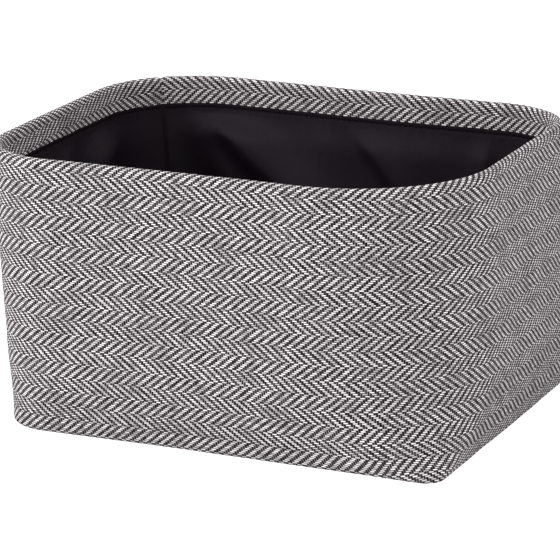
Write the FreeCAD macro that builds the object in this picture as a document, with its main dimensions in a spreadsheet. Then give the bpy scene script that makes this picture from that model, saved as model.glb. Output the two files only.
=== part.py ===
import FreeCAD, Part
import math
import os
import Sketcher

# Fabric storage bin: an open, slightly tapered box of padded cloth with a soft rolled rim.
# The outer cloth is one strip that goes up the wall, over the rim and a little way down inside.
# Frame: +Z up, origin under the middle of the base, X along the long side, -Y is the front.
# All sizes are in millimetres.

DIMENSIONS = {
    # the outer shape: half of it is a level's outline, set in from the top outline
    "top_length": 300,
    "top_width": 252,
    "bin_height": 168,
    "heel_height": 9,
    "waist_height": 37,
    "collar_height": 144,
    "foot_inset": 10,
    "heel_inset": 5.2,
    "waist_inset": 2.5,
    "foot_corner": 14,
    "heel_corner": 30,
    "waist_corner": 45,
    "top_corner": 75,
    # layers of the wall, from outside in
    "cloth_thick": 1.2,
    "padding_thick": 3.8,
    "lining_thick": 0.6,
    "layer_gap": 0.1,
    # the strip of outer cloth folded inside the rim, and the lining's hem below it
    "band_depth": 17,
    "hem_height": 4.5,
    "hem_thick": 1.1,
    "stitch_drop": 3.4,
    # seams and their thread
    "seam_gap": 0.6,
    "seam_reach": 130,
    "thread_thick": 0.4,
    "foot_lift": 0.4,
    # the loose base insert
    "base_padding_thick": 3,
    "board_thick": 3,
    "cover_thick": 0.5,
    "cover_gap": 0.05,
    "cover_hem": 20,
    "insert_corner": 40,
    "insert_clearance": 1,
    "insert_lift": 0.3,
}

# Depths below the outer face, and heights of the floor layers, as expressions of the sheet.
CLOTH_IN = "cloth_thick"
PADDING_OUT = "cloth_thick + layer_gap"
PADDING_IN = "cloth_thick + layer_gap + padding_thick"
LINING_OUT = "cloth_thick + 2 * layer_gap + padding_thick"
LINING_IN = "cloth_thick + 2 * layer_gap + padding_thick + lining_thick"
BAND_IN = "2 * cloth_thick + 2 * layer_gap + padding_thick"
HEM_IN = "cloth_thick + 2 * layer_gap + padding_thick + hem_thick"
RIM_RADIUS = "(2 * cloth_thick + 2 * layer_gap + padding_thick) / 2"
RIM_HEIGHT = "bin_height - (2 * cloth_thick + 2 * layer_gap + padding_thick) / 2"
PADDING_FLOOR = "cloth_thick + layer_gap"
LINING_FLOOR = "cloth_thick + 2 * layer_gap + base_padding_thick"
LINING_TOP = "bin_height - band_depth - layer_gap"
INSERT_FLOOR = "cloth_thick + 2 * layer_gap + base_padding_thick + lining_thick + insert_lift"
INSERT_DEPTH = LINING_IN + " + insert_clearance"

# A level is one horizontal outline of the bin: its inset from the top outline and its corner radius.
LEVELS = {
    "foot": ("foot_inset", "foot_corner"),
    "heel": ("heel_inset", "heel_corner"),
    "waist": ("waist_inset", "waist_corner"),
    "collar": ("0", "top_corner"),
    "rim": ("0", "top_corner"),
}

QUARTER_TURN = math.pi / 2
SEAM_TURN = 3 * math.pi / 4
THROUGH_ALL = 1

doc = FreeCAD.newDocument("FabricStorageBin")
sheet = doc.addObject("Spreadsheet::Sheet", "Dimensions")
for row, (alias, value) in enumerate(DIMENSIONS.items(), start=1):
    sheet.set("A%d" % row, alias)
    sheet.set("B%d" % row, str(value))
    sheet.setAlias("B%d" % row, alias)
doc.recompute()

sub_parts = []


def bound(expression):
    """The same expression with every sheet alias written in full."""
    words = expression.replace("(", "( ").replace(")", " )").split()
    return " ".join("Dimensions." + word if word in DIMENSIONS else word for word in words)


def number(expression):
    """What an expression comes to now, for a sketch's first drawing."""
    value = sheet.evalExpression(bound(expression))
    return float(getattr(value, "Value", value))


def drive(sketch, constraint, expression, name):
    """Adds a size constraint and ties it to the sheet."""
    index = sketch.addConstraint(constraint)
    sketch.renameConstraint(index, name)
    sketch.setExpression("Constraints." + name, bound(expression))


def sub_part(name):
    body = doc.addObject("PartDesign::Body", name)
    body.Label = name
    sub_parts.append(body)
    return body


def new_sketch(body, name, role="XY_Plane", offset="0"):
    """A sketch on one of the body's own origin planes, moved along the plane's normal."""
    sketch = body.newObject("Sketcher::SketchObject", name)
    plane = [item for item in body.Origin.OriginFeatures if item.Role == role][0]
    sketch.AttachmentSupport = [(plane, "")]
    sketch.MapMode = "FlatFace"
    sketch.setExpression("AttachmentOffset.Base.z", bound(offset))
    return sketch


def add_outline(sketch, level, depth, corner=None):
    """Draws a level's rounded rectangle, set in by depth, centred on the origin."""
    inset, level_corner = LEVELS[level]
    half_x = "top_length / 2 - " + inset + " - ( " + depth + " )"
    half_y = "top_width / 2 - " + inset + " - ( " + depth + " )"
    corner = corner or level_corner + " - ( " + depth + " )"
    x, y, r = number(half_x), number(half_y), number(corner)
    flat = FreeCAD.Vector(0, 0, 1)
    first = sketch.GeometryCount
    ends = [(-x + r, -y, x - r, -y), (x, -y + r, x, y - r), (x - r, y, -x + r, y), (-x, y - r, -x, -y + r)]
    centres = [(x - r, -y + r), (x - r, y - r), (-x + r, y - r), (-x + r, -y + r)]
    for turn, ((x1, y1, x2, y2), (cx, cy)) in enumerate(zip(ends, centres)):
        sketch.addGeometry(Part.LineSegment(FreeCAD.Vector(x1, y1, 0), FreeCAD.Vector(x2, y2, 0)), False)
        circle = Part.Circle(FreeCAD.Vector(cx, cy, 0), flat, r)
        start = (turn - 1) * QUARTER_TURN
        sketch.addGeometry(Part.ArcOfCircle(circle, start, start + QUARTER_TURN), False)
    for step in range(8):
        this, after = first + step, first + (step + 1) % 8
        sketch.addConstraint(Sketcher.Constraint("Tangent", this, 2, after, 1))
    for line, way in ((0, "Horizontal"), (2, "Vertical"), (4, "Horizontal"), (6, "Vertical")):
        sketch.addConstraint(Sketcher.Constraint(way, first + line))
    for arc in (3, 5, 7):
        sketch.addConstraint(Sketcher.Constraint("Equal", first + 1, first + arc))
    sketch.addConstraint(Sketcher.Constraint("Symmetric", first + 1, 3, first + 5, 3, -1, 1))
    tag = "_%d" % first
    drive(sketch, Sketcher.Constraint("Radius", first + 1, r), corner, "corner" + tag)
    drive(sketch, Sketcher.Constraint("DistanceX", -1, 1, first + 2, 1, x), half_x, "half_x" + tag)
    drive(sketch, Sketcher.Constraint("DistanceY", -1, 1, first + 4, 1, y), half_y, "half_y" + tag)


def loft(body, name, kind, depth, heights):
    """A ruled loft through the bin's levels at one depth below the outer face."""
    sections = []
    for level, height in heights:
        section = new_sketch(body, name + "_" + level, offset=height)
        add_outline(section, level, depth)
        sections.append(section)
    feature = body.newObject("PartDesign::" + kind, name)
    feature.Profile = sections[0]
    feature.Sections = sections[1:]
    feature.Ruled = True
    doc.recompute()


def ring_wall(body, outside, inside, floor, top=RIM_HEIGHT):
    """A wall layer between two depths, from its own floor up to a height in the straight collar."""
    heights = [
        ("foot", floor),
        ("heel", "heel_height"),
        ("waist", "waist_height"),
        ("collar", "collar_height"),
        ("rim", top),
    ]
    loft(body, body.Name + "_outside", "AdditiveLoft", outside, heights)
    loft(body, body.Name + "_inside", "SubtractiveLoft", inside, heights)


def pad(body, name, outlines, height, length):
    """A plate, or a ring where there are two outlines, each (level, depth, corner or None)."""
    sketch = new_sketch(body, name + "_outline", offset=height)
    for level, depth, corner in outlines:
        add_outline(sketch, level, depth, corner)
    feature = body.newObject("PartDesign::Pad", name)
    feature.Profile = sketch
    feature.setExpression("Length", bound(length))
    doc.recompute()


def rim_profile(body, radius, hollow_radius=None):
    """Half of the rolled rim's section, over the middle of the front wall."""
    side = new_sketch(body, body.Name + "_roll_section", "YZ_Plane", "top_corner - top_length / 2")
    middle_y, middle_z = RIM_RADIUS + " - top_width / 2", RIM_HEIGHT
    centre = FreeCAD.Vector(number(middle_y), number(middle_z), 0)
    flat = FreeCAD.Vector(0, 0, 1)
    radii = [radius] + ([hollow_radius] if hollow_radius else [])
    for index, expression in enumerate(radii):
        size = number(expression)
        side.addGeometry(Part.ArcOfCircle(Part.Circle(centre, flat, size), 0, math.pi), False)
        drive(side, Sketcher.Constraint("Radius", index, size), expression, "roll_radius_%d" % index)
        side.addConstraint(Sketcher.Constraint("Horizontal", index, 1, index, 3))
    across = "0 - ( " + middle_y + " )"
    drive(side, Sketcher.Constraint("DistanceX", 0, 3, -1, 1, -centre.x), across, "across")
    drive(side, Sketcher.Constraint("DistanceY", -1, 1, 0, 3, centre.y), middle_z, "up")
    right = FreeCAD.Vector(number(radius), 0, 0)
    if hollow_radius:
        inner_right = FreeCAD.Vector(number(hollow_radius), 0, 0)
        side.addConstraint(Sketcher.Constraint("Coincident", 0, 3, 1, 3))
        side.addConstraint(Sketcher.Constraint("Horizontal", 0, 2, 0, 3))
        joins = [
            (centre + right, 0, 1, centre + inner_right, 1, 1),
            (centre - right, 0, 2, centre - inner_right, 1, 2),
        ]
    else:
        joins = [(centre - right, 0, 2, centre + right, 0, 1)]
    for start, start_arc, start_end, end, end_arc, end_end in joins:
        line = side.addGeometry(Part.LineSegment(start, end), False)
        side.addConstraint(Sketcher.Constraint("Coincident", line, 1, start_arc, start_end))
        side.addConstraint(Sketcher.Constraint("Coincident", line, 2, end_arc, end_end))
    side.addConstraint(Sketcher.Constraint("Horizontal", line))
    return side


def roll(body, radius, hollow_radius=None):
    """The rounded top of a layer: half a section swept all round the rim."""
    path = new_sketch(body, body.Name + "_roll_path", offset=RIM_HEIGHT)
    add_outline(path, "rim", RIM_RADIUS)
    profile = rim_profile(body, radius, hollow_radius)
    feature = body.newObject("PartDesign::AdditivePipe", body.Name + "_roll")
    feature.Profile = profile
    feature.Spine = (path, ["Edge%d" % edge for edge in range(1, 9)])
    doc.recompute()


def closed_loop(sketch, corners):
    """Four lines through four corners, joined end to end; returns the first line's index."""
    first = sketch.GeometryCount
    for start, end in zip(corners, corners[1:] + corners[:1]):
        sketch.addGeometry(Part.LineSegment(start, end), False)
    for side in range(4):
        after = first + (side + 1) % 4
        sketch.addConstraint(Sketcher.Constraint("Coincident", first + side, 2, after, 1))
    return first


def add_seam_strip(sketch, width):
    """A narrow strip in plan that runs out through the middle of the back left corner."""
    centre_x, centre_y = "top_length / 2 - top_corner", "top_width / 2 - top_corner"
    centre = FreeCAD.Vector(-number(centre_x), number(centre_y), 0)
    half_width, reach = number(width) / 2, number("seam_reach")
    outward = FreeCAD.Vector(-1, 1, 0).normalize()
    across = FreeCAD.Vector(1, 1, 0).normalize() * half_width
    far = centre + outward * reach
    first = closed_loop(sketch, [centre + across, far + across, far - across, centre - across])
    middle = sketch.addGeometry(Part.Point(centre), True)
    sketch.addConstraint(Sketcher.Constraint("Parallel", first, first + 2))
    sketch.addConstraint(Sketcher.Constraint("Perpendicular", first, first + 1))
    sketch.addConstraint(Sketcher.Constraint("Perpendicular", first, first + 3))
    sketch.addConstraint(Sketcher.Constraint("Symmetric", first, 1, first + 2, 2, middle, 1))
    sketch.addConstraint(Sketcher.Constraint("Angle", first, SEAM_TURN))
    drive(sketch, Sketcher.Constraint("Distance", first + 1, 2 * half_width), width, "strip_width")
    drive(sketch, Sketcher.Constraint("Distance", first, reach), "seam_reach", "strip_length")
    drive(sketch, Sketcher.Constraint("DistanceX", middle, 1, -1, 1, -centre.x), centre_x, "strip_x")
    drive(sketch, Sketcher.Constraint("DistanceY", -1, 1, middle, 1, centre.y), centre_y, "strip_y")


def add_surround(sketch):
    """A square in plan, larger than the bin, centred on the origin."""
    half = "top_length"
    reach = number(half)
    signs = ((-1, -1), (1, -1), (1, 1), (-1, 1))
    first = closed_loop(sketch, [FreeCAD.Vector(sx * reach, sy * reach, 0) for sx, sy in signs])
    for line, way in ((0, "Horizontal"), (1, "Vertical"), (2, "Horizontal"), (3, "Vertical")):
        sketch.addConstraint(Sketcher.Constraint(way, first + line))
    sketch.addConstraint(Sketcher.Constraint("Symmetric", first, 1, first + 2, 1, -1, 1))
    drive(sketch, Sketcher.Constraint("DistanceX", -1, 1, first + 1, 1, reach), half, "surround_x")
    drive(sketch, Sketcher.Constraint("DistanceY", -1, 1, first + 2, 1, reach), half, "surround_y")


def cut_at_seam(body, width, keep_strip=False):
    """Opens the strip's seam, or leaves only what lies in it."""
    before = body.Shape.Volume
    sketch = new_sketch(body, body.Name + "_seam_plan")
    add_seam_strip(sketch, width)
    if keep_strip:
        add_surround(sketch)
    feature = body.newObject("PartDesign::Pocket", body.Name + "_seam")
    feature.Profile = sketch
    feature.Type = THROUGH_ALL
    feature.Midplane = True
    doc.recompute()
    if not feature.Shape.Volume < before:
        raise RuntimeError(body.Name + ": the seam cut removed nothing")


def outer_strip(body):
    """The outer cloth: up the wall, over the rim and down inside as the band."""
    ring_wall(body, "0", CLOTH_IN, "foot_lift")
    roll(body, RIM_RADIUS, RIM_RADIUS + " - cloth_thick")
    band = [("rim", BAND_IN + " - cloth_thick", None), ("rim", BAND_IN, None)]
    pad(body, body.Name + "_band", band, "bin_height - band_depth", "band_depth - " + RIM_RADIUS)


def lining_strip(body):
    """The lining's wall, with its thicker hem along the top."""
    ring_wall(body, LINING_OUT, LINING_IN, LINING_FLOOR, LINING_TOP)
    hem = [("rim", LINING_OUT, None), ("rim", HEM_IN, None)]
    pad(body, body.Name + "_hem", hem, LINING_TOP + " - hem_height", "hem_height")


# Outer cloth
outer_wall = sub_part("outer_wall_cloth")
outer_strip(outer_wall)
cut_at_seam(outer_wall, "seam_gap")

outer_base = sub_part("outer_base_cloth")
pad(outer_base, "outer_base_sheet", [("foot", CLOTH_IN + " + seam_gap", None)], "0", "cloth_thick")

# Padding
wall_padding = sub_part("wall_padding")
ring_wall(wall_padding, PADDING_OUT, PADDING_IN, PADDING_FLOOR)
roll(wall_padding, "padding_thick / 2")

base_padding = sub_part("base_padding")
pad(base_padding, "base_padding_sheet", [("foot", LINING_OUT, None)], PADDING_FLOOR, "base_padding_thick")

# Lining
lining_wall = sub_part("lining_wall")
lining_strip(lining_wall)
cut_at_seam(lining_wall, "seam_gap")

lining_base = sub_part("lining_base")
lining_base_edge = ("foot", LINING_IN + " + seam_gap", None)
pad(lining_base, "lining_base_sheet", [lining_base_edge], LINING_FLOOR, "lining_thick")

# Thread in the seams, each run as one thin strand
side_thread = sub_part("side_seam_thread")
outer_strip(side_thread)
cut_at_seam(side_thread, "thread_thick", keep_strip=True)

lining_thread = sub_part("lining_seam_thread")
lining_strip(lining_thread)
cut_at_seam(lining_thread, "thread_thick", keep_strip=True)

THREAD_RINGS = {
    "base_seam_thread": ("foot", CLOTH_IN + " + layer_gap", "foot_lift", "cloth_thick / 2"),
    "lining_base_thread": ("foot", LINING_IN + " + layer_gap", LINING_FLOOR + " + layer_gap", "thread_thick"),
    "rim_topstitch": ("rim", HEM_IN + " + layer_gap / 2", LINING_TOP + " - stitch_drop", "thread_thick"),
}
for ring_name, (ring_level, ring_depth, ring_height, ring_length) in THREAD_RINGS.items():
    ring = sub_part(ring_name)
    ring_outlines = [(ring_level, ring_depth, None), (ring_level, ring_depth + " + thread_thick", None)]
    pad(ring, ring_name + "_strand", ring_outlines, ring_height, ring_length)

# Loose base insert: a board in a cloth cover that is turned under its edge
insert_cover = sub_part("insert_cover")
COVER_IN = INSERT_DEPTH + " + cover_thick"
cover_edge = ("foot", INSERT_DEPTH, "insert_corner")
cover_inner = ("foot", COVER_IN, "insert_corner - cover_thick")
hem_inner = ("foot", COVER_IN + " + cover_hem", "insert_corner - cover_hem")
board_space = "board_thick + 2 * cover_gap"
pad(insert_cover, "cover_hem", [cover_edge, hem_inner], INSERT_FLOOR, "cover_thick")
pad(insert_cover, "cover_side", [cover_edge, cover_inner], INSERT_FLOOR + " + cover_thick", board_space)
pad(insert_cover, "cover_top", [cover_edge], INSERT_FLOOR + " + cover_thick + " + board_space, "cover_thick")

insert_board = sub_part("insert_board")
board_edge = ("foot", COVER_IN + " + cover_gap", "insert_corner - cover_thick")
pad(insert_board, "board_sheet", [board_edge], INSERT_FLOOR + " + cover_thick + cover_gap", "board_thick")

doc.recompute()
for item in doc.Objects:
    if "Invalid" in item.State or "Error" in item.State:
        raise RuntimeError(item.Name + " failed: " + str(item.State))
for body in sub_parts:
    if body.Shape.isNull() or not body.Shape.isValid() or not body.Shape.Solids:
        raise RuntimeError(body.Label + " has no valid solid")

os.makedirs("parts", exist_ok=True)
for body in sub_parts:
    body.Shape.exportStep("parts/" + body.Label + ".step")
    print(body.Label, len(body.Shape.Solids), "solid,", round(body.Shape.Volume), "mm3")
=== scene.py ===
"""A soft storage bin of herringbone cloth, with a rolled rim, a black lining and a loose base insert."""

import math

import bmesh
import bpy
import numpy as np
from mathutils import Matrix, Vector


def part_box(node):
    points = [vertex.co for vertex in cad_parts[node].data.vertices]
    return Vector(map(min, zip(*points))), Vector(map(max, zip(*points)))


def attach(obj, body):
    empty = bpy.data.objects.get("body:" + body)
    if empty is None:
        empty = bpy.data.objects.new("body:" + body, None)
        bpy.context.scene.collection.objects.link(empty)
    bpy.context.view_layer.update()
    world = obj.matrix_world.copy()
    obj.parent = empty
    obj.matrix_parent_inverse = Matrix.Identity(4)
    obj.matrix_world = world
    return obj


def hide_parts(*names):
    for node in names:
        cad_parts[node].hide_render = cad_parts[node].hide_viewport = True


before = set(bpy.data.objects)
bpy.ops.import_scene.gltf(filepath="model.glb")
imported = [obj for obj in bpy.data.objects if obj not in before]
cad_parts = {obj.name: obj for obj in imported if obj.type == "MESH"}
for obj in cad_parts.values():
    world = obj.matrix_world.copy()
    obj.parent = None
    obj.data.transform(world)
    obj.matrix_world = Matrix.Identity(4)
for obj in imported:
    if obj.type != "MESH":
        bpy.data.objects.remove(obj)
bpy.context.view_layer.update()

MM = 0.001

# ---------------------------------------------------------------- driving dimensions, in metres

HALF_LENGTH, HALF_WIDTH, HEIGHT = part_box("outer_wall_cloth")[1]

# Corners in the order back left, front left, front right, back right.
TOP_RADII = (72 * MM, 57 * MM, 92 * MM, 54 * MM)
FOOT_RADII = (12 * MM, 31 * MM, 10 * MM, 12 * MM)
RADIUS_GROWTH = 0.42        # share of the height over which a corner opens out
LEAN_X = 3.5 * MM           # the walls lean out this much from foot to rim
LEAN_Y = 2.6 * MM
CURL = 6.0 * MM             # the wall curls in this much at its foot
CURL_HEIGHT = 0.26          # share of the height that curls
CURL_POWER = 1.5
FOOT_ROUND = 2.2 * MM       # radius of the bottom edge
FOOT_TUCK = 0.7             # share of that radius by which the edge is drawn in
BOW = -4.5 * MM             # the long walls are drawn in at the middle
FOOT_BOW = 0.45             # share of the bow that is left at the foot
BOW_RISE = 0.35             # share of the height over which the bow grows
RIM_SHIFT = (-5.6 * MM, -3.9 * MM)   # the soft rim sits a little off the base
SWELL = 1.1 * MM            # how far the padding swells

CLOTH = 1.2 * MM
LINING = 0.6 * MM
GAP = 0.1 * MM
RIM_RADIUS = 3.2 * MM
BAND_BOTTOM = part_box("lining_wall")[1].z + GAP
PANEL_TOP = 150.0 * MM      # where a wall panel ends and the rim's piece begins
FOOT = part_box("outer_wall_cloth")[0].z
LINING_IN = 5.1 * MM        # the lining's outer face, from the outer cloth's face
LINING_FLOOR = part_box("lining_wall")[0].z
HEM_HEIGHT = 4.5 * MM
STITCH_HEIGHT = (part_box("rim_topstitch")[0].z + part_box("rim_topstitch")[1].z) / 2

COLUMN_STEP = 2.5 * MM
ROW_STEP = 2.5 * MM
RIM_STEP = 1.6 * MM
SHARP_ANGLE = math.radians(42)
STITCH_ANGLE = math.radians(60)
NOMINAL_ROUND = 1.0         # the cloth strip's length, round the bin

# The cloth: pale yarns run round the bin, black yarns run up it.
PALE_PITCH = 1.115 * MM
BLACK_PITCH = 1.40 * MM
BAND_YARNS = 8              # pale yarns in one band of the herringbone
BAND_EDGE = 153.0 * MM      # height of one band's edge on the wall


# ---------------------------------------------------------------- the bin's outline

def wall_sizes(rise):
    """Returns the half length, half width and corner radii at a share of the height."""
    curl = 0.0
    if rise < CURL_HEIGHT:
        curl = CURL * (1 - rise / CURL_HEIGHT) ** CURL_POWER
    below = 1 - rise * HEIGHT / FOOT_ROUND
    if below > 0:
        curl += FOOT_ROUND * (1 - math.sqrt(1 - below ** 2)) * FOOT_TUCK
    half_x = HALF_LENGTH - LEAN_X * (1 - rise) - curl
    half_y = HALF_WIDTH - LEAN_Y * (1 - rise) - curl
    growth = 1 - (1 - min(1.0, rise / RADIUS_GROWTH)) ** 3
    radii = [foot + (top - foot) * growth for foot, top in zip(FOOT_RADII, TOP_RADII)]
    return half_x, half_y, radii


def rounded_outline(half_x, half_y, radii, bow=0.0):
    """Returns a dense closed outline from the back left corner's middle, by way of the left side."""
    back_left, front_left, front_right, back_right = radii
    arcs = [
        (-1, 1, 135, 180, back_left),
        (-1, -1, 180, 270, front_left),
        (1, -1, 270, 360, front_right),
        (1, 1, 0, 90, back_right),
        (-1, 1, 90, 135, back_left),
    ]
    steps = 24
    points = []
    for side_x, side_y, start, end, radius in arcs:
        angles = np.radians(np.linspace(start, end, steps))
        middle = np.array([side_x * (half_x - radius), side_y * (half_y - radius)])
        arc = middle + radius * np.column_stack([np.cos(angles), np.sin(angles)])
        if points:
            share = np.linspace(0, 1, steps)[1:-1, None]
            points.append(points[-1][-1] * (1 - share) + arc[0] * share)
        points.append(arc)
    dense = np.concatenate(points)
    drawn_in = bow * np.cos(np.pi / 2 * np.clip(dense[:, 0] / half_x, -1, 1))
    dense[:, 1] += drawn_in * dense[:, 1] / half_y
    return dense


def wall_outline(rise):
    """Returns the dense outline of the outer cloth's face at a share of the height."""
    bow = BOW * (FOOT_BOW + (1 - FOOT_BOW) * min(1.0, rise / BOW_RISE))
    return rounded_outline(*wall_sizes(rise), bow)


def outline_run(dense):
    """Returns the distance along an outline, and its marks: seam, middle of each side, seam."""
    run = np.concatenate([[0], np.cumsum(np.hypot(*np.diff(dense, axis=0).T))])
    x, y = dense.T
    marks = [0.0]
    for across, along in ((-x, -y), (-y, x), (x, y), (y, -x)):
        side = (across > 0) & (np.abs(along) < HALF_WIDTH / 4)
        marks.append(np.interp(0.0, along[side], run[side]))
    marks.append(run[-1])
    return run, np.array(marks)


def points_at(dense, run, at):
    """Returns the outline's points at distances along it."""
    return np.column_stack([np.interp(at, run, dense[:, axis]) for axis in (0, 1)])


def even_outline(dense, shares):
    """Returns points and outward normals at shares of the outline.

    The sides' middles keep the shares that they have at the rim, so yarns run straight up."""
    run, marks = outline_run(dense)
    at = np.interp(shares, MARK_SHARES, marks)
    reach = 2.0 * MM
    along = points_at(dense, run, (at + reach) % run[-1]) - points_at(dense, run, (at - reach) % run[-1])
    along /= np.hypot(*along.T)[:, None]
    normals = np.column_stack([along[:, 1], -along[:, 0]])
    return points_at(dense, run, at), normals


def mark_shares():
    """Returns the shares of the rim's outline at the seam and at each side's middle."""
    run, marks = outline_run(wall_outline(1.0))
    return marks / run[-1]


MARK_SHARES = mark_shares()


def column_shares():
    """Returns the columns' places round the bin, closer together beside the seam."""
    count = round(NOMINAL_ROUND / COLUMN_STEP)
    even = np.arange(count + 1) / count
    beside = np.array([0.3, 0.6, 1.0, 1.5]) * MM / NOMINAL_ROUND
    return np.unique(np.concatenate([even, beside, 1 - beside]))


COLUMNS = column_shares()


# Waves of the padding's swell: how many go round the bin, phase, twist with height, and share.
SWELLS = [(5, 1.2, 2.0, 0.45), (9, 4.1, -3.0, 0.35), (17, 0.6, 5.0, 0.22), (29, 2.7, -7.0, 0.15)]


def ripple(shares, height):
    """Returns how far the padded wall stands out from its even shape."""
    rise = height / HEIGHT
    turn = 2 * np.pi * shares
    swell = sum(share * np.sin(waves * turn + phase + twist * rise) for waves, phase, twist, share in SWELLS)
    fade = math.sin(math.pi * min(1.0, max(0.0, 0.12 + 0.8 * rise)))
    return SWELL * swell * fade


def seam_groove(shares, depth, width):
    """Returns how far cloth is drawn in beside the seam at the back left corner."""
    away = np.minimum(shares, 1 - shares) * NOMINAL_ROUND
    return depth * np.exp(-(away / width) ** 2)


def wall_row(height, inset, level, shares=COLUMNS):
    """Returns one row of points round the wall.

    height picks the outline, inset is measured inwards from the outer cloth's face, and level is
    the row's own height."""
    rise = min(max(height / HEIGHT, 0.0), 1.0)
    points, normals = even_outline(wall_outline(rise), shares)
    inwards = np.asarray(inset) - ripple(shares, height)
    points = points - normals * np.broadcast_to(inwards, shares.shape)[:, None]
    points = points + np.array(RIM_SHIFT) * rise
    return np.column_stack([points, np.broadcast_to(level, shares.shape)])


# ---------------------------------------------------------------- profiles, as (inset, height) rows

def run_of(profile):
    """Returns the distance along a profile."""
    return np.concatenate([[0], np.cumsum(np.hypot(*np.diff(profile, axis=0).T))])


def resampled(profile, step):
    """Returns a profile with rows an even step apart."""
    profile = np.asarray(profile, float)
    run = run_of(profile)
    count = max(2, round(run[-1] / step) + 1)
    at = np.linspace(0, run[-1], count)
    return np.column_stack([np.interp(at, run, profile[:, axis]) for axis in (0, 1)])


def offset_profile(profile, distance):
    """Returns a profile moved to its right-hand side, which is the padding's side."""
    along = np.gradient(profile, axis=0)
    along /= np.hypot(*along.T)[:, None]
    return profile + distance * np.column_stack([along[:, 1], -along[:, 0]])


def wall_profile(bottom, top, inset, step=ROW_STEP):
    """Returns an upright profile, closer together near the foot, where the wall curls."""
    heights = np.linspace(bottom, top, max(2, round((top - bottom) / step) + 1))
    close = bottom + np.array([0.2, 0.6, 1.2, 2.0, 3.2, 4.6, 6.4, 8.6]) * MM
    heights = np.unique(np.concatenate([heights, close]))
    return np.column_stack([np.full(len(heights), inset), heights])


def rim_profile():
    """Returns the profile from the wall, over the rolled rim, and down to the band's turned edge."""
    middle = HEIGHT - RIM_RADIUS
    angles = np.linspace(0, np.pi, 15)
    roll_inset = RIM_RADIUS - RIM_RADIUS * np.cos(angles)
    roll_height = middle + RIM_RADIUS * np.sin(angles)
    outside = resampled([(0.0, PANEL_TOP), (0.0, middle)], RIM_STEP)
    inside = resampled([(2 * RIM_RADIUS, middle), (2 * RIM_RADIUS, BAND_BOTTOM)], RIM_STEP)
    return np.concatenate([outside[:-1], np.column_stack([roll_inset, roll_height]), inside[1:]])


# ---------------------------------------------------------------- meshes

def make_object(name, points, faces, weave=None):
    """Makes a smooth mesh object, with the weave's own coordinates where it has them."""
    mesh = bpy.data.meshes.new(name)
    mesh.from_pydata(points.tolist(), [], faces.tolist())
    mesh.update()
    if weave is not None:
        layer = mesh.uv_layers.new(name="Weave")
        corners = np.zeros(len(mesh.loops), np.int32)
        mesh.loops.foreach_get("vertex_index", corners)
        layer.data.foreach_set("uv", weave[corners].astype(np.float32).ravel())
    mesh.shade_smooth()
    mesh.set_sharp_from_angle(angle=SHARP_ANGLE)
    piece = bpy.data.objects.new(name, mesh)
    bpy.context.scene.collection.objects.link(piece)
    return piece


def grid_faces(rows, columns, closed, start=0, flip=False):
    """Returns the quads of a grid of points, joined round if it is closed."""
    across = columns if closed else columns - 1
    row, column = np.meshgrid(np.arange(rows - 1), np.arange(across), indexing="ij")
    row, column = row.ravel(), column.ravel()
    after = (column + 1) % columns
    quads = np.column_stack([
        row * columns + column,
        row * columns + after,
        (row + 1) * columns + after,
        (row + 1) * columns + column,
    ]) + start
    return quads[:, ::-1] if flip else quads


def border_faces(first, second):
    """Returns the quads that join two runs of points along a sheet's edge."""
    return np.column_stack([first[:-1], first[1:], second[1:], second[:-1]])


def sheet_object(name, face, back, weave, closed=False):
    """Makes a closed thin sheet from the grids of its two sides."""
    rows, columns = face.shape[:2]
    number = np.arange(rows * columns).reshape(rows, columns)
    behind = number + rows * columns
    faces = [
        grid_faces(rows, columns, closed),
        grid_faces(rows, columns, closed, rows * columns, flip=True),
    ]
    low, low_behind, high, high_behind = number[0], behind[0], number[-1], behind[-1]
    if closed:
        low, low_behind, high, high_behind = [
            np.append(edge, edge[0]) for edge in (low, low_behind, high, high_behind)
        ]
    faces.append(border_faces(low_behind, low))
    faces.append(border_faces(high, high_behind))
    if not closed:
        faces.append(border_faces(number[:, 0], behind[:, 0]))
        faces.append(border_faces(behind[:, -1], number[:, -1]))
    points = np.concatenate([face.reshape(-1, 3), back.reshape(-1, 3)])
    weave = np.concatenate([weave.reshape(-1, 2)] * 2)
    return make_object(name, points, np.concatenate(faces), weave)


def grain_shift(shares):
    """Returns how far the cloth's grain has slipped, from the seam to the front left corner."""
    left_end = COLUMNS[corner_columns()[1]]
    away = np.clip(1 - shares / left_end, 0, 1)
    return BAND_YARNS * PALE_PITCH * away ** 1.2


def wall_grids(profile):
    """Returns the two sides of a sheet round the whole wall, drawn in to the padding at the seam."""
    drawn = seam_groove(COLUMNS, GROOVE_DEPTH, GROOVE_WIDTH)
    face, back = [], []
    for (inset, level), (back_inset, back_level) in zip(profile, offset_profile(profile, CLOTH)):
        facing = 1 - inset / RIM_RADIUS
        across, down = drawn * facing, drawn * math.sqrt(max(0.0, 1 - facing ** 2))
        face.append(wall_row(level, inset + across, level - down))
        back.append(wall_row(back_level, back_inset + across, back_level - down))
    return np.array(face), np.array(back)


def slope_run(face, top):
    """Returns every point's place up the cloth, measured down the wall's slope from its top row."""
    steps = np.diff(face, axis=0)
    round_way = np.gradient(face, axis=1)[:-1]
    round_way /= np.linalg.norm(round_way, axis=2)[:, :, None]
    sideways = (steps * round_way).sum(axis=2)
    down = np.sqrt((steps ** 2).sum(axis=2) - sideways ** 2)
    below_top = np.cumsum(down[::-1], axis=0)[::-1]
    return top - np.concatenate([below_top, np.zeros((1, len(COLUMNS)))])


def weave_grid(up):
    """Returns the weave's coordinates: the place round the bin, and the place up the cloth."""
    round_way = (COLUMNS - MARK_SHARES[2]) * NOMINAL_ROUND
    return np.stack([np.broadcast_to(round_way, up.shape), up + grain_shift(COLUMNS)], axis=2)


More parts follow.
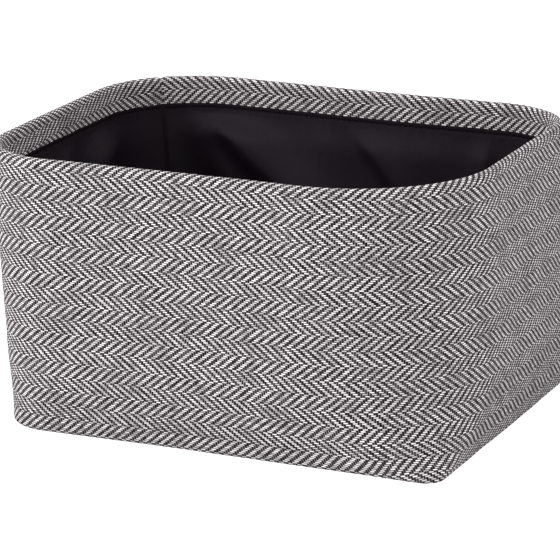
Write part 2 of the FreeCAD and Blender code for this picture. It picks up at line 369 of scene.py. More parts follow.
def corner_columns():
    """Returns the column nearest to each corner's middle, from seam to seam."""
    dense = rounded_outline(*wall_sizes(1.0))
    normals = even_outline(dense, COLUMNS)[1]
    corners = []
    for side_x, side_y in ((-1, -1), (1, -1), (1, 1)):
        facing = normals @ np.array([side_x, side_y])
        corners.append(int(np.argmax(facing)))
    return [0, *corners, len(COLUMNS) - 1]


# ---------------------------------------------------------------- shader helpers

def add_node(tree, kind, **settings):
    """Adds a node and sets its properties."""
    node = tree.nodes.new(kind)
    for name, value in settings.items():
        setattr(node, name, value)
    return node


def feed(tree, socket, value):
    """Links an output to an input, or sets the input's own value."""
    if isinstance(value, bpy.types.NodeSocket):
        tree.links.new(value, socket)
    else:
        socket.default_value = value


def calculate(tree, operation, *values):
    """Returns the result of a Math node."""
    node = add_node(tree, "ShaderNodeMath", operation=operation)
    for socket, value in zip(node.inputs, values):
        feed(tree, socket, value)
    return node.outputs[0]


def multiply(tree, first, second):
    """Multiplies two values."""
    return calculate(tree, "MULTIPLY", first, second)


def add(tree, first, second):
    """Adds two values."""
    return calculate(tree, "ADD", first, second)


def subtract(tree, first, second):
    """Takes the second value from the first."""
    return calculate(tree, "SUBTRACT", first, second)


def blend_values(tree, share, first, second):
    """Returns a number between two others."""
    node = add_node(tree, "ShaderNodeMix", data_type="FLOAT")
    for socket, value in zip(node.inputs[:4], (share, None, first, second)):
        if value is not None:
            feed(tree, socket, value)
    return node.outputs[0]


def blend_colours(tree, share, first, second):
    """Returns a colour between two others."""
    node = add_node(tree, "ShaderNodeMix", data_type="RGBA")
    feed(tree, node.inputs[0], share)
    feed(tree, node.inputs[6], first)
    feed(tree, node.inputs[7], second)
    return node.outputs[2]


def vector_of(tree, x, y, z=0.0):
    """Returns a vector made of three numbers."""
    node = add_node(tree, "ShaderNodeCombineXYZ")
    for socket, value in zip(node.inputs, (x, y, z)):
        feed(tree, socket, value)
    return node.outputs[0]


def cloud(tree, vector, scale, detail=2.0, roughness=0.5):
    """Returns a soft noise value."""
    node = add_node(tree, "ShaderNodeTexNoise")
    feed(tree, node.inputs["Vector"], vector)
    node.inputs["Scale"].default_value = scale
    node.inputs["Detail"].default_value = detail
    node.inputs["Roughness"].default_value = roughness
    return node.outputs[0]


def wander(tree, place, scale, reach):
    """Returns a soft random shift of up to half of reach either way."""
    return calculate(tree, "MULTIPLY_ADD", cloud(tree, place, scale), reach, -reach / 2)


def from_middle(tree, share):
    """Returns 0 in the middle of a run from 0 to 1, and 1 at its two ends."""
    away = calculate(tree, "ABSOLUTE", subtract(tree, share, 0.5))
    return multiply(tree, away, 2.0)


def round_crown(tree, away):
    """Returns a round yarn's height, from 1 in its middle to 0 where away is 1."""
    fall = subtract(tree, 1.0, multiply(tree, away, away))
    return calculate(tree, "SQRT", calculate(tree, "MAXIMUM", fall, 0.0))


def chance(tree, vector):
    """Returns a random value for each whole step of a vector."""
    node = add_node(tree, "ShaderNodeTexWhiteNoise", noise_dimensions="3D")
    feed(tree, node.inputs["Vector"], vector)
    return node.outputs[0]


def level_of(tree, value, low, high, from_low=0.0, from_high=1.0):
    """Returns a value mapped from one range to another, and held inside it."""
    node = add_node(tree, "ShaderNodeMapRange")
    for socket, number in zip(node.inputs, (value, from_low, from_high, low, high)):
        feed(tree, socket, number)
    return node.outputs[0]


def smooth_step(tree, value, low, high):
    """Returns 0 below low and 1 above high, with a smooth change between them."""
    node = add_node(tree, "ShaderNodeMapRange", interpolation_type="SMOOTHSTEP")
    for socket, number in zip(node.inputs, (value, low, high, 0.0, 1.0)):
        feed(tree, socket, number)
    return node.outputs[0]


def new_material(name):
    """Returns a material's node tree and its shader, with the material."""
    material = bpy.data.materials.new(name)
    material.use_nodes = True
    tree = material.node_tree
    shader = tree.nodes["Principled BSDF"]
    return material, tree, shader


def add_bump(tree, shader, height, distance):
    """Raises the surface by a height value."""
    bump = add_node(tree, "ShaderNodeBump")
    bump.inputs["Strength"].default_value = 1.0
    bump.inputs["Distance"].default_value = distance
    feed(tree, bump.inputs["Height"], height)
    tree.links.new(bump.outputs[0], shader.inputs["Normal"])


def weave_place(tree):
    """Returns the cloth's own two coordinates, in metres."""
    place = add_node(tree, "ShaderNodeUVMap", uv_map="Weave")
    split = add_node(tree, "ShaderNodeSeparateXYZ")
    tree.links.new(place.outputs[0], split.inputs[0])
    return place.outputs[0], split.outputs[0], split.outputs[1]


# ---------------------------------------------------------------- materials

PALE_YARN = (1.0, 0.960, 0.970, 1.0)
DULL_YARN = (0.44, 0.405, 0.415, 1.0)
PALE_SIDE = (0.022, 0.018, 0.020, 1.0)    # painted shade on the pale yarn's round sides
UNDER_SIDE = (0.27, 0.243, 0.251, 1.0)   # pale yarn seen between black floats, darkened with painted shade
BLACK_YARN = (0.007, 0.005, 0.007, 1.0)
WORN_BLACK = (0.025, 0.019, 0.023, 1.0)
FLOAT_DULLNESS = 0.75       # how much each cause dulls the pale yarn
YARN_DULLNESS = 0.18
SLUB_DULLNESS = 0.45
PATCH_DULLNESS = 0.30
END_SHADE = 0.45            # how much painted shade darkens a float's ends, and how deep they dip
END_DIP = 0.8
YARN_HEIGHT = 0.30 * MM
PALE_CORE = 0.57            # share of a yarn's width that its core fills
BLACK_CORE = 0.58
CORE_FADE = 0.12


def crossing_places(tree, place, round_way, up_way):
    """Returns where each point lies among the yarns of the herringbone.

    crossing counts the black yarns of a repeat, from 0 to 3. The pale yarn lies over 0 and 1, and
    under 2 and 3."""
    # slow drift and quick jitter keep the yarns from being ruler straight
    drift_up = wander(tree, place, 28.0, 0.9 * MM)
    jitter_up = wander(tree, place, 420.0, 0.42 * MM)
    drift_round = wander(tree, place, 34.0, 1.6 * MM)
    up_moved = add(tree, add(tree, up_way, drift_up), jitter_up)
    up_moved = subtract(tree, up_moved, BAND_EDGE)
    yarn_up = calculate(tree, "DIVIDE", up_moved, PALE_PITCH)
    yarn_round = calculate(tree, "DIVIDE", add(tree, round_way, drift_round), BLACK_PITCH)
    pale_index = calculate(tree, "FLOOR", yarn_up)
    black_index = calculate(tree, "FLOOR", yarn_round)

    # the step to the side turns round at every band's edge
    band_step = calculate(tree, "FLOORED_MODULO", pale_index, float(BAND_YARNS))
    band_index = calculate(tree, "FLOOR", calculate(tree, "DIVIDE", pale_index, float(BAND_YARNS)))
    turned = calculate(tree, "FLOORED_MODULO", band_index, 2.0)
    step = blend_values(tree, turned, band_step, subtract(tree, 1.0, band_step))
    crossing = calculate(tree, "FLOORED_MODULO", add(tree, black_index, step), 4.0)
    return yarn_up, yarn_round, pale_index, black_index, turned, crossing


def herringbone_cloth():
    """Herringbone of pale and black yarns, each crossing over two of the other."""
    material, tree, shader = new_material("herringbone_cloth")
    place, round_way, up_way = weave_place(tree)
    yarn_up, yarn_round, pale_index, black_index, turned, crossing = crossing_places(
        tree, place, round_way, up_way
    )
    pale_under = calculate(tree, "GREATER_THAN", crossing, 1.5)
    across_pale = calculate(tree, "FRACT", yarn_up)
    across_black = calculate(tree, "FRACT", yarn_round)

    # how far along its float, and how far across the yarn, each place is
    pale_along = multiply(tree, add(tree, crossing, across_black), 0.5)
    black_row = subtract(tree, crossing, 2.0)
    black_row = blend_values(tree, turned, black_row, subtract(tree, 1.0, black_row))
    black_along = multiply(tree, add(tree, black_row, across_pale), 0.5)
    along = from_middle(tree, blend_values(tree, pale_under, pale_along, black_along))
    across = from_middle(tree, blend_values(tree, pale_under, across_pale, across_black))

    # each yarn has a bright or dark core; painted shade darkens a pale yarn's edges and every float's ends,
    # and a black yarn's edges show the yarn beneath
    core_edge = blend_values(tree, pale_under, PALE_CORE, BLACK_CORE)
    edges = smooth_step(tree, across, core_edge, add(tree, core_edge, CORE_FADE))
    ends = smooth_step(tree, along, 0.80, 1.05)

    # colour: every yarn and every float differs, and slubs thin or dull the pale yarn
    yarn_chance = chance(tree, vector_of(tree, 0.0, pale_index, 3.0))
    pale_start = subtract(tree, black_index, crossing)
    float_chance = chance(tree, vector_of(tree, pale_start, pale_index, 7.0))
    slub_place = vector_of(tree, multiply(tree, yarn_round, 0.16), pale_index, 0.0)
    slub = cloud(tree, slub_place, 1.0, detail=1.0)
    patches = cloud(tree, place, 45.0, detail=3.0)
    dullness = multiply(tree, float_chance, FLOAT_DULLNESS)
    dullness = calculate(tree, "MULTIPLY_ADD", yarn_chance, YARN_DULLNESS, dullness)
    dullness = add(tree, dullness, level_of(tree, slub, 0.0, SLUB_DULLNESS, 0.50, 0.72))
    dullness = add(tree, dullness, level_of(tree, patches, 0.0, PATCH_DULLNESS, 0.50, 0.70))
    dullness = calculate(tree, "MINIMUM", dullness, 1.0)
    pale = blend_colours(tree, dullness, PALE_YARN, DULL_YARN)
    # painted shade: the pale yarn darkens towards its round sides
    pale = blend_colours(tree, edges, pale, PALE_SIDE)
    worn = level_of(tree, patches, 0.0, 0.7, 0.45, 0.75)
    black = blend_colours(tree, worn, BLACK_YARN, WORN_BLACK)
    black_start = subtract(tree, pale_index, calculate(tree, "FLOOR", black_row))
    gap_chance = chance(tree, vector_of(tree, black_index, black_start, 11.0))
    # the gap between black floats shows pale yarn in painted shade, or worn black
    gap = blend_colours(tree, gap_chance, UNDER_SIDE, WORN_BLACK)
    black = blend_colours(tree, edges, black, gap)
    yarn = blend_colours(tree, pale_under, pale, black)
    # painted shade: each float's ends darken towards black where it dives under
    colour = blend_colours(tree, multiply(tree, ends, END_SHADE), yarn, BLACK_YARN)
    tree.links.new(colour, shader.inputs["Base Color"])

    fibre = cloud(tree, place, 2600.0, detail=2.0)
    tree.links.new(level_of(tree, fibre, 0.78, 0.96), shader.inputs["Roughness"])
    shader.inputs["Specular IOR Level"].default_value = 0.12
    shader.inputs["Sheen Weight"].default_value = 0.03
    dip = subtract(tree, 1.0, multiply(tree, ends, END_DIP))
    height = multiply(tree, round_crown(tree, across), dip)
    add_bump(tree, shader, calculate(tree, "MULTIPLY_ADD", fibre, 0.16, height), YARN_HEIGHT)
    return material


LINING_WEFT = 0.5 * MM      # repeats of the lining's fine weave
LINING_WARP = 0.42 * MM
LINING_COLOURS = [(0.0036, 0.0018, 0.0040), (0.0112, 0.0073, 0.0120)]   # dark, light


def lining_cloth(name="lining_cloth", shade=1.0):
    """Black lining with a fine plain weave, matt, a touch violet."""
    material, tree, shader = new_material(name)
    place, round_way, up_way = weave_place(tree)
    weft = calculate(tree, "SINE", multiply(tree, round_way, 2 * math.pi / LINING_WEFT))
    warp = calculate(tree, "SINE", multiply(tree, up_way, 2 * math.pi / LINING_WARP))
    weave = multiply(tree, weft, warp)
    streak_place = vector_of(tree, multiply(tree, round_way, 0.12), up_way, 0.0)
    streaks = cloud(tree, streak_place, 900.0, detail=3.0)
    patches = cloud(tree, place, 40.0, detail=3.0)
    dark, light = [(red * shade, green * shade, blue * shade, 1.0) for red, green, blue in LINING_COLOURS]
    share = multiply(tree, add(tree, streaks, patches), 0.5)
    tree.links.new(blend_colours(tree, share, dark, light), shader.inputs["Base Color"])
    tree.links.new(level_of(tree, streaks, 0.42, 0.62), shader.inputs["Roughness"])
    shader.inputs["Specular IOR Level"].default_value = 0.10
    height = calculate(tree, "MULTIPLY_ADD", streaks, 0.5, multiply(tree, weave, 0.5))
    add_bump(tree, shader, height, 0.06 * MM)
    return material


def thread_material():
    """Black sewing thread with a twist."""
    material, tree, shader = new_material("black_thread")
    place = add_node(tree, "ShaderNodeTexCoord").outputs["Object"]
    wave = add_node(tree, "ShaderNodeTexWave", bands_direction="DIAGONAL")
    tree.links.new(place, wave.inputs["Vector"])
    wave.inputs["Scale"].default_value = 900.0
    wave.inputs["Distortion"].default_value = 1.0
    colour = blend_colours(tree, wave.outputs[1], (0.005, 0.004, 0.005, 1), (0.016, 0.012, 0.016, 1))
    tree.links.new(colour, shader.inputs["Base Color"])
    tree.links.new(level_of(tree, wave.outputs[1], 0.55, 0.75), shader.inputs["Roughness"])
    shader.inputs["Specular IOR Level"].default_value = 0.15
    add_bump(tree, shader, wave.outputs[1], 0.08 * MM)
    return material


def board_material():
    """Grey pulp board with flecks and scuffed edges."""
    material, tree, shader = new_material("pulp_board")
    place = add_node(tree, "ShaderNodeTexCoord").outputs["Object"]
    flecks = cloud(tree, place, 700.0, detail=4.0)
    stains = cloud(tree, place, 22.0, detail=2.0)
    fibres = level_of(tree, flecks, 0.0, 1.0, 0.40, 0.66)
    base = blend_colours(tree, fibres, (0.21, 0.185, 0.155, 1), (0.34, 0.315, 0.275, 1))
    colour = blend_colours(tree, level_of(tree, stains, 0.0, 0.5), base, (0.16, 0.14, 0.12, 1))
    tree.links.new(colour, shader.inputs["Base Color"])
    tree.links.new(level_of(tree, flecks, 0.75, 0.95), shader.inputs["Roughness"])
    add_bump(tree, shader, flecks, 0.15 * MM)
    return material


def wadding_material():
    """Off-white bonded wadding."""
    material, tree, shader = new_material("wadding")
    place = add_node(tree, "ShaderNodeTexCoord").outputs["Object"]
    tufts = cloud(tree, place, 260.0, detail=5.0, roughness=0.65)
    colour = blend_colours(tree, tufts, (0.55, 0.54, 0.51, 1), (0.78, 0.77, 0.74, 1))
    tree.links.new(colour, shader.inputs["Base Color"])
    tree.links.new(level_of(tree, tufts, 0.85, 1.0), shader.inputs["Roughness"])
    add_bump(tree, shader, tufts, 0.8 * MM)
    return material


def floor_material():
    """A plain pale floor."""
    material, tree, shader = new_material("pale_floor")
    shader.inputs["Base Color"].default_value = (0.80, 0.80, 0.80, 1)
    shader.inputs["Roughness"].default_value = 0.9
    shader.inputs["Specular IOR Level"].default_value = 0.1
    seen = add_node(tree, "ShaderNodeLightPath").outputs["Is Camera Ray"]
    shader.inputs["Emission Color"].default_value = (1, 1, 1, 1)
    feed(tree, shader.inputs["Emission Strength"], multiply(tree, seen, 0.8))
    return material


# ---------------------------------------------------------------- outer cloth

HERRINGBONE = herringbone_cloth()
LINING_BLACK = lining_cloth()
COVER_BLACK = lining_cloth("insert_cover_cloth", 1.3)
THREAD_BLACK = thread_material()
BOARD_GREY = board_material()
WADDING = wadding_material()

SIDES = ("left", "front", "right", "back")
SIDE_EDGES = corner_columns()
GROOVE_DEPTH = 0.8 * MM     # the seam draws the cloth in this much
GROOVE_WIDTH = 1.3 * MM
PADDING_GROOVE = 1.2 * MM
LINING_GROOVE = 0.9 * MM
CLOTH_BASE_INSET = 1.8 * MM     # the base's layers end this far inside the cloth's face
PAD_BASE_INSET = 5.4 * MM
LINING_BASE_GAP = 0.8 * MM
PADDING_STEP = 5 * MM


def finish_piece(piece, material, body, nodes):
    """Gives a piece its material and body, and hides the CAD parts that it stands for."""
    piece.data.materials.append(material)
    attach(piece, body)
    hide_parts(*nodes)
    return piece


def split_sheet(kind, face, back, up):
    """Makes the four pieces of a sheet that goes round the bin."""
    weave = weave_grid(up)
    for number, side in enumerate(SIDES):
        part = slice(SIDE_EDGES[number], SIDE_EDGES[number + 1] + 1)
        piece = sheet_object(f"{kind}_{side}", face[:, part], back[:, part], weave[:, part])
        finish_piece(piece, HERRINGBONE, "bin", ["outer_wall_cloth"])


def build_outer_cloth():
    """The wall's cloth, with its rim rolled over and turned down inside."""
    profile = wall_profile(FOOT, PANEL_TOP, 0.0)
    face, back = wall_grids(profile)
    split_sheet("wall", face, back, slope_run(face, PANEL_TOP))
    profile = rim_profile()
    face, back = wall_grids(profile)
    up = np.repeat((PANEL_TOP + run_of(profile))[:, None], len(COLUMNS), axis=1)
    split_sheet("rim", face, back, up)


def merge_middle(piece):
    """Joins the points of a mesh that share a place, such as those of a disc's middle."""
    mesh = bmesh.new()
    mesh.from_mesh(piece.data)
    bmesh.ops.remove_doubles(mesh, verts=mesh.verts, dist=0.001 * MM)
    mesh.to_mesh(piece.data)
    mesh.free()


def disc_object(name, rings):
    """Makes a closed flat piece from rings of points, from its top's middle round to its base's."""
    rows, columns = rings.shape[:2]
    points = rings.reshape(-1, 3)
    piece = make_object(name, points, grid_faces(rows, columns, closed=True, flip=True), points[:, :2])
    merge_middle(piece)
    return piece


def flat_rings(edge, bottom, top):
    """Returns the rings of a flat piece with the outline edge, from the top's middle to the base's."""
    middle = edge.mean(axis=0)
    scales = np.linspace(0.0, 1.0, 15)
    rings = []
    for level, outwards in ((top, scales), (bottom, scales[::-1])):
        for scale in outwards:
            ring = middle + (edge - middle) * scale
            rings.append(np.column_stack([ring, np.full(len(ring), level)]))
    return np.array(rings)


def base_edge(height, inset):
    """Returns the outline inside the wall at a height, without its repeated last point."""
    return wall_row(height, inset, 0.0)[:-1, :2]


def build_base():
    """The base's cloth, padding and lining."""
    low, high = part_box("outer_base_cloth")
    edge = base_edge(0.0, CLOTH_BASE_INSET)
    cloth = disc_object("base_cloth", flat_rings(edge, low.z, high.z))
    finish_piece(cloth, HERRINGBONE, "bin", ["outer_base_cloth"])

    low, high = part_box("base_padding")
    pad = disc_object("base_pad", flat_rings(base_edge(low.z, PAD_BASE_INSET), low.z, high.z))
    finish_piece(pad, WADDING, "bin", ["base_padding"])

    low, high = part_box("lining_base")
    edge = base_edge(high.z, LINING_IN + LINING + LINING_BASE_GAP)
    floor = disc_object("lining_floor", flat_rings(edge, low.z, high.z))
    finish_piece(floor, LINING_BLACK, "bin", ["lining_base"])


def build_padding():
    """The wadding between the wall's cloth and lining, rounded under the rim."""
    low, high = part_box("wall_padding")
    outside = CLOTH + GAP
    inside = LINING_IN - GAP
    radius = (inside - outside) / 2
    crown = high.z - radius
    angles = np.linspace(0, np.pi, 7)
    groove = seam_groove(COLUMNS, PADDING_GROOVE, 2 * GROOVE_WIDTH)
    profile = [(outside, level) for level in wall_profile(low.z, crown, 0.0, PADDING_STEP)[:, 1]]
    half = len(profile)
    for angle in angles[1:-1]:
        profile.append((outside + radius - radius * math.cos(angle), crown + radius * math.sin(angle)))
    profile += [(inside, level) for _, level in profile[:half][::-1]]
    middle = (outside + inside) / 2
    rings = [
        wall_row(level, inset + math.copysign(1, middle - inset) * groove, level)[:-1]
        for inset, level in profile
    ]
    rows, columns = len(rings), len(rings[0])
    faces = grid_faces(rows, columns, closed=True)
    number = np.arange(rows * columns).reshape(rows, columns)
    first, last = np.append(number[0], number[0][0]), np.append(number[-1], number[-1][0])
    faces = np.concatenate([faces, border_faces(last, first)])
    piece = make_object("wall_wadding", np.concatenate(rings), faces)
    finish_piece(piece, WADDING, "bin", ["wall_padding"])


# ---------------------------------------------------------------- lining

# Folds of the loose lining, in mm: distance from the seam along the wall at FOLD_TOP (the left
# wall's are negative), sideways lean going down (no unit), width of each flank, and height.
FOLD_TOP = 141 * MM
FOLDS = [
    (24, 0.55, 16, 7, 2.6),
    (42, 1.25, 17, 30, 10.0),
    (110, 0.35, 14, 12, 1.6),
    (142, 0.80, 9, 18, 4.5),
    (180, 0.60, 18, 20, 1.8),
    (224, 0.05, 9, 5, 3.0),
    (-68, -0.55, 12, 26, 8.5),
    (-112, -0.50, 14, 10, 2.5),
    (-150, -0.30, 16, 12, 2.5),
    (-230, -0.50, 14, 22, 4.0),
    (-310, 0.45, 12, 18, 3.6),
    (-390, -0.40, 20, 12, 3.2),
    (290, 0.50, 13, 20, 3.6),
    (365, -0.45, 20, 12, 3.0),
    (430, 0.35, 12, 18, 3.6),
]
BILLOW = 1.8 * MM           # how far the lining stands off the padding below its hem
BILLOW_RUN = 20 * MM        # height over which it comes to stand off
STITCH_PULL = 0.35 * MM     # the stitches draw the hem in, and it bulges above them
HEM_BULGE = 0.25 * MM
HEM_RUN = 7 * MM            # height of the part with finer rows

SETTLE_FRAMES = 14
SETTLE_SPARE = 0.006        # share by which the loose cloth is larger than its place
SETTLE_HOLD = 0.35          # how firmly the padding behind keeps the folds' places
HEM_ROWS = 9                # rows at the hem that are held fast
FOLD_LIMIT = 12.0 * MM
DENT_LIMIT = 0.3 * MM
SIDE_LIMIT = 2.0 * MM


def smooth(value):
    """Returns 0 below 0 and 1 above 1, with a smooth change between them."""
    value = min(1.0, max(0.0, value))
    return value * value * (3 - 2 * value)


def lining_hem(level):
    """Returns how deep inside the outer cloth the lining's shown face is, without its folds."""
    below = BAND_BOTTOM - GAP - level
    depth = LINING_IN + LINING
    pulled = math.exp(-((level - STITCH_HEIGHT) / (0.9 * MM)) ** 2)
    turned = math.exp(-((level - STITCH_HEIGHT - 1.9 * MM) / (1.3 * MM)) ** 2)
    loose = smooth((below - HEM_HEIGHT) / BILLOW_RUN) * smooth(level / (50 * MM))
    return depth - STITCH_PULL * pulled + HEM_BULGE * turned + BILLOW * loose


def fold_height(shares, level):
    """Returns how far the lining's folds stand into the bin."""
    from_seam = np.where(shares < 0.5, -shares, 1 - shares) * NOMINAL_ROUND
    total = np.zeros(len(shares))
    for place, lean, first_width, second_width, height in FOLDS:
        middle = place * MM + lean * (FOLD_TOP - level)
        away = (from_seam - middle + NOMINAL_ROUND / 2) % NOMINAL_ROUND - NOMINAL_ROUND / 2
        width = np.where(away < 0, first_width, second_width) * MM
        total += height * MM * np.exp(-(away / width) ** 2)
    top = BAND_BOTTOM - GAP - HEM_HEIGHT
    return total * smooth((top - level) / (16 * MM)) * smooth((level - 12 * MM) / (40 * MM))


def settle(grid):
    """Lets the folded lining settle as cloth, held along its hem and its foot, and returns its points.

    grid holds rows of points from foot to hem, without the repeated last column."""
    rows, columns = grid.shape[:2]
    piece = make_object("lining_settling", grid.reshape(-1, 3), grid_faces(rows, columns, closed=True))
    held = piece.vertex_groups.new(name="held")
    number = np.arange(rows * columns).reshape(rows, columns)
    held.add(number.ravel().tolist(), SETTLE_HOLD, "REPLACE")
    held.add(number[:2].ravel().tolist(), 1.0, "REPLACE")
    held.add(number[-HEM_ROWS:].ravel().tolist(), 1.0, "REPLACE")
    cloth = piece.modifiers.new("settle", "CLOTH")
    cloth.settings.quality = 6
    cloth.settings.mass = 0.12
    cloth.settings.tension_stiffness = 12.0
    cloth.settings.compression_stiffness = 12.0
    cloth.settings.shear_stiffness = 4.0
    cloth.settings.bending_stiffness = 0.6
    cloth.settings.vertex_group_mass = "held"
    cloth.settings.shrink_min = -SETTLE_SPARE
    cloth.collision_settings.use_collision = False
    cloth.collision_settings.use_self_collision = False
    cloth.point_cache.frame_end = SETTLE_FRAMES
    scene = bpy.context.scene
    for step in range(1, SETTLE_FRAMES + 1):
        scene.frame_set(step)
    graph = bpy.context.evaluated_depsgraph_get()
    settled = piece.evaluated_get(graph)
    points = np.zeros(rows * columns * 3, np.float32)
    settled.data.vertices.foreach_get("co", points)
    scene.frame_set(1)
    bpy.data.objects.remove(piece)
    return points.reshape(rows, columns, 3).astype(float)


def build_lining():
    """The lining's wall, open at its seam, with its turned hem and loose folds."""
    top = BAND_BOTTOM - GAP
    lower = wall_profile(LINING_FLOOR, top - HEM_RUN, 0.0)[:, 1]
    heights = np.unique(np.concatenate([lower, np.linspace(top - HEM_RUN, top, 15)]))
    plain, folded, outer, weave = [], [], [], []
    drawn = seam_groove(COLUMNS, LINING_GROOVE, GROOVE_WIDTH)
    for level in heights:
        depth = lining_hem(level) - drawn
        plain.append(wall_row(level, LINING_IN + LINING, level))
        folded.append(wall_row(level, depth + fold_height(COLUMNS, level), level))
        outer.append(wall_row(level, LINING_IN, level))
        weave.append(np.column_stack([COLUMNS * NOMINAL_ROUND, np.full(len(COLUMNS), level)]))
    plain, folded, outer = np.array(plain), np.array(folded), np.array(outer)
    inwards = plain - outer
    inwards /= np.linalg.norm(inwards, axis=2)[:, :, None]
    settled = settle(folded[:, :-1])
    moved = np.concatenate([settled, settled[:, :1]], axis=1) - plain
    stand = (moved * inwards).sum(axis=2)[:, :, None]
    sideways = np.clip(moved - stand * inwards, -SIDE_LIMIT, SIDE_LIMIT)
    folded = plain + inwards * np.clip(stand, -DENT_LIMIT, FOLD_LIMIT) + sideways
    back = folded - inwards * LINING
    # the shown face looks into the bin, so it is the sheet's second side
    piece = sheet_object("lining_wall_cloth", back, folded, np.array(weave))
    finish_piece(piece, LINING_BLACK, "bin", ["lining_wall"])


# ---------------------------------------------------------------- stitches

# Kinds of stitch: its length, the gap to the next, and the thread's radius.
TOP_STITCH = (2.6 * MM, 1.1 * MM, 0.28 * MM)
SIDE_STITCH = (2.2 * MM, 0.9 * MM, 0.3 * MM)
LINING_STITCH = (2.2 * MM, 0.9 * MM, 0.2 * MM)
BASE_STITCH = (2.6 * MM, 1.0 * MM, 0.25 * MM)
FLOOR_STITCH = (2.6 * MM, 1.0 * MM, 0.2 * MM)
STITCH_SINK = 0.35 * MM     # the lining's seam stitches lie this deep in its face
SEAM_FOOT = 2 * MM          # where the side seam's stitches begin, and where the lining's end
LINING_SEAM_TOP = 146 * MM


def stitch_object(name, path, outwards, length, gap, radius):
    """Makes a row of separate stitches along a path, each dipping into the cloth at its ends."""
    run = np.concatenate([[0], np.cumsum(np.linalg.norm(np.diff(path, axis=0), axis=1))])
    sides, rings = 6, 5
    points, faces = [], []
    start = gap / 2
    while start + length < run[-1]:
        at = np.linspace(start, start + length, rings)
        line = np.column_stack([np.interp(at, run, path[:, axis]) for axis in range(3)])
        lift = np.column_stack([np.interp(at, run, outwards[:, axis]) for axis in range(3)])
        lift /= np.linalg.norm(lift, axis=1)[:, None]
        ahead = np.gradient(line, axis=0)
        ahead /= np.linalg.norm(ahead, axis=1)[:, None]
        across = np.cross(ahead, lift)
        arch = np.sin(np.linspace(0, np.pi, rings))
        first = len(points)
        for place, up, side, share in zip(line, lift, across, arch):
            middle = place + up * radius * (1.5 * share - 0.9)
            size = radius * (0.55 + 0.45 * share)
            for turn in range(sides):
                angle = 2 * math.pi * turn / sides
                points.append(middle + size * (math.cos(angle) * side + math.sin(angle) * up))
        for ring in range(rings - 1):
            for turn in range(sides):
                after = (turn + 1) % sides
                low = first + ring * sides
                faces.append((low + turn, low + after, low + sides + after, low + sides + turn))
        faces.append(tuple(first + turn for turn in range(sides))[::-1])
        faces.append(tuple(first + (rings - 1) * sides + turn for turn in range(sides)))
        start += length + gap
    mesh = bpy.data.meshes.new(name)
    mesh.from_pydata([tuple(point) for point in points], [], faces)
    mesh.update()
    mesh.shade_smooth()
    mesh.set_sharp_from_angle(angle=STITCH_ANGLE)
    piece = bpy.data.objects.new(name, mesh)
    bpy.context.scene.collection.objects.link(piece)
    return piece


def ring_path(height, inset, level, inwards):
    """Returns a closed path round the wall, with the direction its stitches stand out."""
    row = wall_row(height, inset, level)
    deeper = wall_row(height, inset + MM, level)
    direction = deeper - row
    return row, direction if inwards else -direction


def seam_path(profile, outer):
    """Returns a path up the back left corner, along a profile."""
    corner = np.array([0.0])
    line, outwards = [], []
    lifted = offset_profile(profile, -MM if outer else MM)
    for (inset, level), (out_inset, out_level) in zip(profile, lifted):
        here = wall_row(level, inset, level, corner)[0]
        out = wall_row(out_level, out_inset, out_level, corner)[0]
        line.append(here)
        outwards.append(out - here)
    return np.array(line), np.array(outwards)


def sew(name, node, path, stitch):
    """Sews one row of stitches along a path and its outward directions, for a CAD thread."""
    finish_piece(stitch_object(name, *path, *stitch), THREAD_BLACK, "bin", [node])


def build_threads():
    """The rows of stitches: side seams, base seams and the rim's topstitch."""
    hem = ring_path(STITCH_HEIGHT, lining_hem(STITCH_HEIGHT), STITCH_HEIGHT, True)
    sew("rim_stitches", "rim_topstitch", hem, TOP_STITCH)

    wall = resampled(wall_profile(SEAM_FOOT, HEIGHT - RIM_RADIUS, GROOVE_DEPTH), 1.5 * MM)
    sew("side_seam_stitches", "side_seam_thread", seam_path(wall, True), SIDE_STITCH)

    levels = np.linspace(LINING_FLOOR + MM, LINING_SEAM_TOP, 60)
    inside = np.array([(lining_hem(level) - STITCH_SINK, level) for level in levels])
    sew("lining_seam_stitches", "lining_seam_thread", seam_path(inside, False), LINING_STITCH)

    foot = ring_path(FOOT, 0.9 * MM, 0.7 * MM, False)
    sew("base_seam_stitches", "base_seam_thread", foot, BASE_STITCH)

    low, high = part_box("lining_base_thread")
    level = (low.z + high.z) / 2
    floor = ring_path(level, LINING_IN + LINING + 0.3 * MM, level, True)
    sew("lining_base_stitches", "lining_base_thread", floor, FLOOR_STITCH)


# ---------------------------------------------------------------- base insert

INSERT_RADIUS = 40 * MM
INSERT_POINTS = 240         # points round its outline
COVER_EDGE = 1.1 * MM       # radius of the cover's edge
COVER_HEM = 20 * MM         # width of cloth turned under the board
COVER_CLOTH = 0.5 * MM


def insert_outline(inset):
    """Returns the insert's outline, set in from its edge."""
    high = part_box("insert_cover")[1]
    radius = INSERT_RADIUS - inset
    dense = rounded_outline(high.x - inset, high.y - inset, (radius,) * 4)
    shares = np.arange(INSERT_POINTS) / INSERT_POINTS
    return even_outline(dense, shares)[0]


def insert_rows(bottom, top):
    """Returns the cover's rows from its turned hem, round its edge, to the middle of its top.

    Each row is the outline's scale, its inset and its height."""
    radius = COVER_EDGE
    turns = np.linspace(0, np.pi / 2, 5)
    rows = [(1.0, inset, bottom) for inset in np.linspace(COVER_HEM, radius, 8)[:-1]]
    for turn in turns:
        rows.append((1.0, radius - radius * math.sin(turn), bottom + radius - radius * math.cos(turn)))
    for turn in turns:
        rows.append((1.0, radius - radius * math.cos(turn), top - radius + radius * math.sin(turn)))
    rows += [(1.0, inset, top) for inset in np.linspace(radius, COVER_HEM, 6)[1:]]
    rows += [(scale, COVER_HEM, top) for scale in np.linspace(1.0, 0.0, 12)[1:]]
    return np.array(rows)


def insert_rings(rows):
    """Returns the rings of points for rows of scale, inset and height."""
    rings = []
    for scale, inset, level in rows:
        ring = insert_outline(inset) * scale
        rings.append(np.column_stack([ring, np.full(len(ring), level)]))
    return np.array(rings)


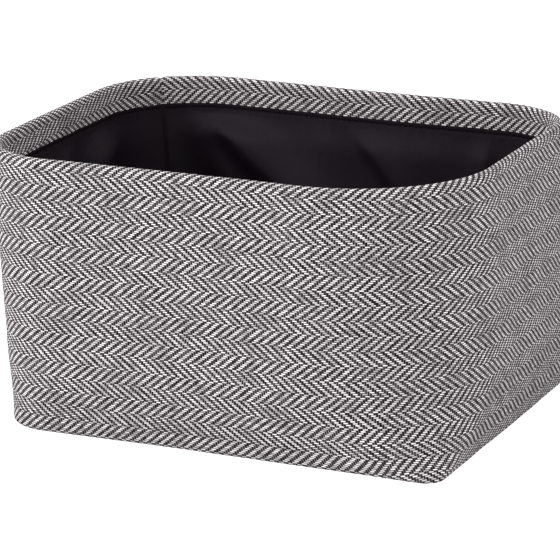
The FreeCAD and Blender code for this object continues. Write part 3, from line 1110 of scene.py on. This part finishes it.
def build_insert():
    """The loose base insert: a board in a black cover that is turned under its edge."""
    low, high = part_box("insert_cover")
    shown = insert_rows(low.z, high.z)
    # the rows of the top run on inwards, so the cloth's thickness is set off from all of them alike
    reach = np.column_stack([shown[:, 1] + (1 - shown[:, 0]) * high.y, shown[:, 2]])
    hidden = shown.copy()
    hidden[:, 1:] += offset_profile(reach, COVER_CLOTH) - reach
    face, back = insert_rings(shown), insert_rings(hidden)
    piece = sheet_object("insert_cover_cloth", face, back, face[:, :, :2], closed=True)
    merge_middle(piece)
    finish_piece(piece, COVER_BLACK, "base_insert", ["insert_cover"])

    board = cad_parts["insert_board"]
    board.data.materials.clear()
    board.data.materials.append(BOARD_GREY)


# ---------------------------------------------------------------- stage

CAMERA_AZIMUTH = math.radians(23.495)
CAMERA_ELEVATION = math.radians(15.601)
CAMERA_DISTANCE = 2.201
CAMERA_LENS = 235.7
CAMERA_SHIFT = (0.0, -0.0248)
SENSOR = 36.0
FLOOR_REACH = 8.0
ROOM_LIGHT = 0.68
SKY_SEEN = 1.1

# Soft lights: name, place, size and power.
LIGHTS = [
    ("key", (-1.5, -1.5, 1.4), 0.8, 49.0),
    ("top", (0.1, 0.1, 1.9), 1.0, 11.0),
    ("side", (1.8, -1.2, 1.05), 0.8, 16.5),
]


def build_floor():
    """A plain pale floor."""
    mesh = bpy.data.meshes.new("floor")
    turns = [(-1, -1), (1, -1), (1, 1), (-1, 1)]
    corners = [(x * FLOOR_REACH, y * FLOOR_REACH, 0) for x, y in turns]
    mesh.from_pydata(corners, [], [(0, 1, 2, 3)])
    mesh.materials.append(floor_material())
    floor = bpy.data.objects.new("floor", mesh)
    bpy.context.scene.collection.objects.link(floor)


def build_room():
    """Even white light from all round."""
    world = bpy.data.worlds.new("studio")
    world.use_nodes = True
    tree = world.node_tree
    seen = add_node(tree, "ShaderNodeLightPath").outputs["Is Camera Ray"]
    sky = tree.nodes["Background"]
    sky.inputs["Color"].default_value = (1, 1, 1, 1)
    feed(tree, sky.inputs["Strength"], blend_values(tree, seen, ROOM_LIGHT, SKY_SEEN))
    bpy.context.scene.world = world


def build_camera():
    """The camera, to the front and right of the bin and above it."""
    camera = bpy.data.cameras.new("camera")
    camera.lens = CAMERA_LENS
    camera.sensor_width = SENSOR
    camera.shift_x, camera.shift_y = CAMERA_SHIFT
    camera.clip_start = 0.1
    camera.clip_end = 50.0
    view = bpy.data.objects.new("camera", camera)
    bpy.context.scene.collection.objects.link(view)
    flat = math.cos(CAMERA_ELEVATION)
    back = Vector((
        math.sin(CAMERA_AZIMUTH) * flat,
        -math.cos(CAMERA_AZIMUTH) * flat,
        math.sin(CAMERA_ELEVATION),
    ))
    target = Vector((*RIM_SHIFT, HEIGHT / 2))
    view.location = target + back * CAMERA_DISTANCE
    view.rotation_mode = "QUATERNION"
    view.rotation_quaternion = (-back).to_track_quat("-Z", "Y")
    bpy.context.scene.camera = view
    bpy.context.scene.view_settings.view_transform = "Standard"


def add_light(name, place, size, power):
    """Adds a large soft light that faces the bin."""
    light = bpy.data.lights.new(name, "AREA")
    light.shape = "SQUARE"
    light.size = size
    light.energy = power
    lamp = bpy.data.objects.new(name, light)
    lamp.location = place
    aim = Vector((0, 0, HEIGHT / 2)) - Vector(place)
    lamp.rotation_mode = "QUATERNION"
    lamp.rotation_quaternion = aim.to_track_quat("-Z", "Y")
    bpy.context.scene.collection.objects.link(lamp)


build_outer_cloth()
build_base()
build_padding()
build_lining()
build_threads()
build_insert()
build_floor()
build_room()
for light in LIGHTS:
    add_light(*light)
build_camera()
